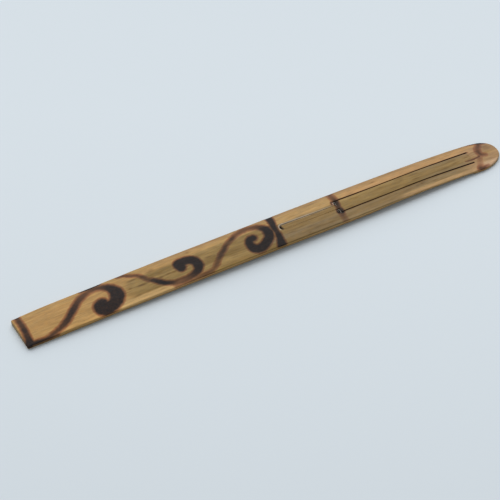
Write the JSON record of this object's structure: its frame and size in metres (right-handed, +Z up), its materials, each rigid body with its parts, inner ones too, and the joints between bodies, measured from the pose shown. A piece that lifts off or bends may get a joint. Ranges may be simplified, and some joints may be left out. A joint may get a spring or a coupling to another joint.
{
  "type": "bamboo jaw harp",
  "caption": "Slim bamboo jaw harp with burnt scroll ornament on its handle and a long tongue cut free inside its springy frame.",
  "frame": {"origin": "middle of the length and width, on the surface that the strip lies on", "axes": "+X along the strip from the square handle end to the rounded plucked end, +Y across to the far edge, +Z up out of the bamboo's skin side"},
  "size_m": [0.2399, 0.0178, 0.0039],
  "materials": {
    "handle": "scraped and smoked bamboo skin with burnt ornament",
    "far_cheek": "scraped bamboo, knife cut, scorched at the cuts",
    "near_cheek": "scraped bamboo, knife cut, scorched at the cuts",
    "far_rail": "scraped bamboo, knife cut, scorched at the cuts",
    "near_rail": "scraped bamboo, knife cut, scorched at the cuts",
    "plucking_end": "scraped bamboo, knife cut, scorched at the cuts",
    "tongue_blade": "scraped bamboo, knife cut, scorched at the cuts",
    "tongue_shoulder": "scraped bamboo, knife cut, scorched at the cuts",
    "tongue_needle": "scraped bamboo, knife cut, scorched at the cuts"
  },
  "bodies": {
    "handle": {"handle": "handle", "far_cheek": "far_cheek", "near_cheek": "near_cheek"},
    "frame_end": {"far_rail": "far_rail", "near_rail": "near_rail", "plucking_end": "plucking_end"},
    "tongue": {"tongue_blade": "tongue_blade", "tongue_shoulder": "tongue_shoulder", "tongue_needle": "tongue_needle"}
  },
  "joints": [
    {"name": "frame_flex", "type": "hinge", "parent": "handle", "child": "frame_end", "pos_m": [0.0365, 0, 0.0024], "axis": [0, 1, 0], "range_deg": [-3, 3], "stiffness_Nm_per_rad": 2},
    {"name": "tongue_flex", "type": "hinge", "parent": "frame_end", "child": "tongue", "pos_m": [0.1059, 0, 0.0016], "axis": [0, 1, 0], "range_deg": [-4, 4], "stiffness_Nm_per_rad": 0.5}
  ]
}
